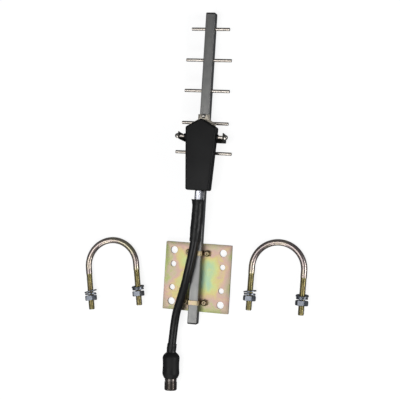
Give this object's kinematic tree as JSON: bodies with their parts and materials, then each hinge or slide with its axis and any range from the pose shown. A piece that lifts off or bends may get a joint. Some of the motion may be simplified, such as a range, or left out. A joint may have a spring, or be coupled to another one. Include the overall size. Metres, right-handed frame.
{
  "type": "yagi antenna",
  "caption": "Short yagi antenna on a square boom with a boxed folded dipole, a pigtail jack, a clamp plate and two loose mast U-bolts.",
  "frame": {"origin": "centre of the clamp plate's back face, which lies on the plane z = 0", "axes": "+Y along the boom towards the directors, +Z out of the plate's front and the housing's face, +X to the right seen from the front with the directors up"},
  "size_m": [0.2925, 0.4756, 0.032],
  "materials": {
    "yellow_zinc_plate": "iridescent yellow zinc passivation over sheet steel, satin",
    "strap_zinc": "yellow zinc passivation, darker gold",
    "boom_aluminium": "drawn aluminium with fine scratches, dull grey",
    "end_cap_black": "moulded polyethylene, matt",
    "rod_nickel": "nickel plated, bright, slightly warm",
    "strip_dark": "dark oxidised sheet",
    "hardware_nickel": "nickel plated",
    "bracket_bright": "bright sheet steel with a warm cast",
    "housing_black": "moulded black plastic, satin with a fine grain",
    "gasket_black": "matt",
    "board_green": "glass-epoxy laminate",
    "insulator_white": "white fluoropolymer",
    "ferrule_metal": "crimped tube, semi-bright",
    "cable_jacket": "extruded polyethylene jacket, semi-gloss",
    "heat_shrink": "shrunk polyolefin tube, semi-matt",
    "boot_rubber": "moulded rubber, matt",
    "jack_nickel": "dark nickel plate",
    "contact_gold": "gold flashed",
    "bolt_zinc": "yellow zinc passivation, pink and olive, semi-bright",
    "hardware_zinc": "blue-white zinc plate, semi-bright"
  },
  "bodies": {
    "clamp_plate": {"mounting_plate": "yellow_zinc_plate", "boom_strap_front": "strap_zinc", "boom_strap_rear": "strap_zinc", "strap_washer_front_left": "strap_zinc", "strap_screw_front_left": "strap_zinc", "strap_washer_front_right": "strap_zinc", "strap_screw_front_right": "strap_zinc", "strap_washer_rear_left": "strap_zinc", "strap_screw_rear_left": "strap_zinc", "strap_washer_rear_right": "strap_zinc", "strap_screw_rear_right": "strap_zinc"},
    "antenna": {"boom_tube": "boom_aluminium", "front_end_cap": "end_cap_black", "rear_end_cap": "end_cap_black", "director_1": "rod_nickel", "director_2": "rod_nickel", "director_3": "rod_nickel", "director_4": "rod_nickel", "reflector": "rod_nickel", "dipole_rod_left": "rod_nickel", "dipole_rod_right": "rod_nickel", "dipole_strip": "strip_dark", "dipole_strip_rivet": "hardware_nickel", "dipole_dome_nut_left": "hardware_nickel", "dipole_dome_nut_right": "hardware_nickel", "feed_insulator": "insulator_white", "balun_board": "board_green", "feed_bracket": "bracket_bright", "bracket_screw": "hardware_nickel", "bracket_rivet": "hardware_nickel", "housing_front": "housing_black", "housing_back": "housing_black", "housing_gasket": "gasket_black", "housing_screw_1": "hardware_nickel", "housing_screw_2": "hardware_nickel", "housing_screw_3": "hardware_nickel", "housing_screw_4": "hardware_nickel", "cable_ferrule": "ferrule_metal", "coax_cable": "cable_jacket", "cable_sleeve": "heat_shrink", "cable_end_sleeve": "heat_shrink", "connector_boot": "boot_rubber", "connector_body": "jack_nickel", "connector_insulator": "insulator_white", "connector_contact": "contact_gold"},
    "left_mast_bolt": {"left_u_bolt": "bolt_zinc"},
    "left_bolt_left_washers": {"left_bolt_left_flat_washer": "hardware_zinc", "left_bolt_left_spring_washer": "hardware_zinc"},
    "left_bolt_left_nut": {"left_bolt_left_nut": "hardware_zinc"},
    "left_bolt_right_washers": {"left_bolt_right_flat_washer": "hardware_zinc", "left_bolt_right_spring_washer": "hardware_zinc"},
    "left_bolt_right_nut": {"left_bolt_right_nut": "hardware_zinc"},
    "right_mast_bolt": {"right_u_bolt": "bolt_zinc"},
    "right_bolt_left_washers": {"right_bolt_left_flat_washer": "hardware_zinc", "right_bolt_left_spring_washer": "hardware_zinc"},
    "right_bolt_left_nut": {"right_bolt_left_nut": "hardware_zinc"},
    "right_bolt_right_washers": {"right_bolt_right_flat_washer": "hardware_zinc", "right_bolt_right_spring_washer": "hardware_zinc"},
    "right_bolt_right_nut": {"right_bolt_right_nut": "hardware_zinc"}
  },
  "joints": [
    {"name": "boom_slide", "type": "slide", "parent": "clamp_plate", "child": "antenna", "axis": [0, 1, 0], "range_m": [-0.01, 0.008]},
    {"name": "left_bolt_lift", "type": "slide", "parent": "clamp_plate", "child": "left_mast_bolt", "axis": [0, 0, 1], "range_m": [0, 0.05]},
    {"name": "left_bolt_left_nut_travel", "type": "slide", "parent": "left_mast_bolt", "child": "left_bolt_left_washers", "axis": [-0.1698, 0.9832, -0.0663], "range_m": [-0.0113, 0.0201]},
    {"name": "left_bolt_left_nut_spin", "type": "hinge", "parent": "left_bolt_left_washers", "child": "left_bolt_left_nut", "pos_m": [-0.1384, -0.03738, 0.00874], "axis": [-0.1698, 0.9832, -0.0663], "range_deg": [-3240, 5760]},
    {"name": "left_bolt_right_nut_travel", "type": "slide", "parent": "left_mast_bolt", "child": "left_bolt_right_washers", "axis": [-0.1698, 0.9832, -0.0663], "range_m": [-0.0113, 0.0201]},
    {"name": "left_bolt_right_nut_spin", "type": "hinge", "parent": "left_bolt_right_washers", "child": "left_bolt_right_nut", "pos_m": [-0.07435, -0.02632, 0.00874], "axis": [-0.1698, 0.9832, -0.0663], "range_deg": [-3240, 5760]},
    {"name": "right_bolt_lift", "type": "slide", "parent": "clamp_plate", "child": "right_mast_bolt", "axis": [0, 0, 1], "range_m": [0, 0.05]},
    {"name": "right_bolt_left_nut_travel", "type": "slide", "parent": "right_mast_bolt", "child": "right_bolt_left_washers", "axis": [0.0052, 0.9978, -0.0663], "range_m": [-0.0113, 0.0201]},
    {"name": "right_bolt_left_nut_spin", "type": "hinge", "parent": "right_bolt_left_washers", "child": "right_bolt_left_nut", "pos_m": [0.0699, -0.01974, 0.00874], "axis": [0.0052, 0.9978, -0.0663], "range_deg": [-3240, 5760]},
    {"name": "right_bolt_right_nut_travel", "type": "slide", "parent": "right_mast_bolt", "child": "right_bolt_right_washers", "axis": [0.0052, 0.9978, -0.0663], "range_m": [-0.0113, 0.0201]},
    {"name": "right_bolt_right_nut_spin", "type": "hinge", "parent": "right_bolt_right_washers", "child": "right_bolt_right_nut", "pos_m": [0.1349, -0.02008, 0.00874], "axis": [0.0052, 0.9978, -0.0663], "range_deg": [-3240, 5760]}
  ],
  "couplings": [
    {"joint": "left_bolt_left_nut_travel", "follows": "left_bolt_left_nut_spin", "m_per_rad": 0.00019894},
    {"joint": "left_bolt_right_nut_travel", "follows": "left_bolt_right_nut_spin", "m_per_rad": 0.00019894},
    {"joint": "right_bolt_left_nut_travel", "follows": "right_bolt_left_nut_spin", "m_per_rad": 0.00019894},
    {"joint": "right_bolt_right_nut_travel", "follows": "right_bolt_right_nut_spin", "m_per_rad": 0.00019894}
  ]
}
